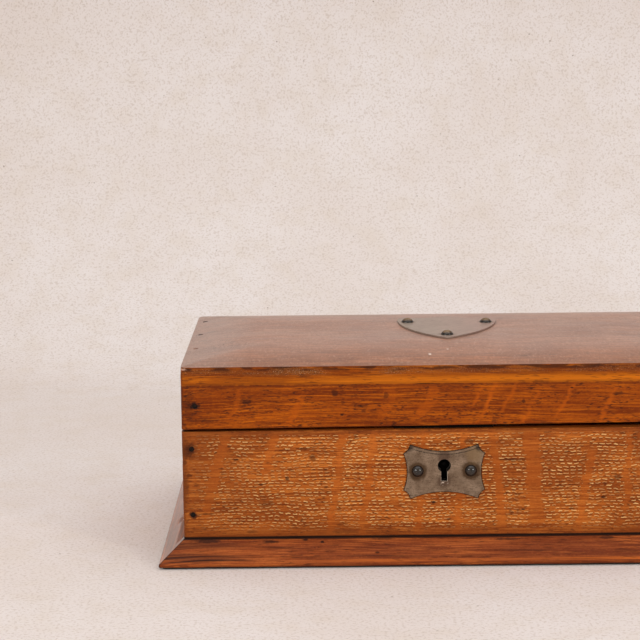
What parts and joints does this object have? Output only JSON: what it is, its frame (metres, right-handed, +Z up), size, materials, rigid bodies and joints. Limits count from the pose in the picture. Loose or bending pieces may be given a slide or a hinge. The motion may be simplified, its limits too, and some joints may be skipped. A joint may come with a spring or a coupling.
{
  "type": "desk letter box",
  "caption": "Low oak box for letters, with a deep hinged lid, a crowned top, a mitred sloping plinth, a lock with a keyhole plate and a blank shield plate on the lid.",
  "frame": {"origin": "middle of the footprint, on the surface the box stands on", "axes": "+X to the right seen from the front, +Y from the front to the back, +Z up; the lid is shut and the lock is open"},
  "size_m": [0.3326, 0.2076, 0.1235],
  "materials": {
    "oak_front": "quarter-sawn oak, golden flecks, worn shellac",
    "oak_carcase": "oak, worn shellac",
    "oak_lid": "oak, worn polish",
    "oak_plinth": "oak, straight dark grain, worn shellac",
    "pine_bottom": "thin board, unpolished",
    "baize": "dark baize",
    "iron": "dark, rusted nails and pins",
    "plate_steel": "dull, brown-stained",
    "lock_steel": "dull",
    "hinge_brass": "tarnished"
  },
  "bodies": {
    "carcase": {"front_board": "oak_front", "back_board": "oak_carcase", "left_side": "oak_carcase", "right_side": "oak_carcase", "bottom_board": "pine_bottom", "plinth_front": "oak_plinth", "plinth_back": "oak_plinth", "plinth_left": "oak_plinth", "plinth_right": "oak_plinth", "base_baize": "baize", "corner_nails": "iron", "bottom_nails": "iron", "plinth_brads": "iron", "lock_plate": "lock_steel", "lock_cap": "lock_steel", "lock_rivets": "lock_steel", "lock_studs": "lock_steel", "drill_pin": "lock_steel", "detent_spring": "lock_steel", "lock_screws": "lock_steel", "keyhole_plate": "plate_steel", "keyhole_plate_pins": "iron", "left_lower_leaf": "hinge_brass", "right_lower_leaf": "hinge_brass", "left_hinge_pin": "hinge_brass", "right_hinge_pin": "hinge_brass", "lower_hinge_screws": "hinge_brass"},
    "lock_bolt": {"lock_bolt": "hinge_brass"},
    "lid": {"lid_top_board": "oak_lid", "lid_front_rail": "oak_lid", "lid_back_rail": "oak_lid", "lid_left_rail": "oak_lid", "lid_right_rail": "oak_lid", "lid_corner_nails": "iron", "lid_top_nails": "iron", "left_upper_leaf": "hinge_brass", "right_upper_leaf": "hinge_brass", "upper_hinge_screws": "hinge_brass", "link_plate": "lock_steel", "link_staples": "lock_steel", "link_screws": "lock_steel", "shield_plate": "plate_steel", "shield_pins": "iron"}
  },
  "joints": [
    {"name": "lid_hinge", "type": "hinge", "parent": "carcase", "child": "lid", "pos_m": [0, 0.0868, 0.07821], "axis": [-1, 0, 0], "range_deg": [0, 100]},
    {"name": "lock_bolt_slide", "type": "slide", "parent": "carcase", "child": "lock_bolt", "axis": [1, 0, 0], "range_m": [0, 0.0055], "deforming": ["detent_spring"]}
  ]
}
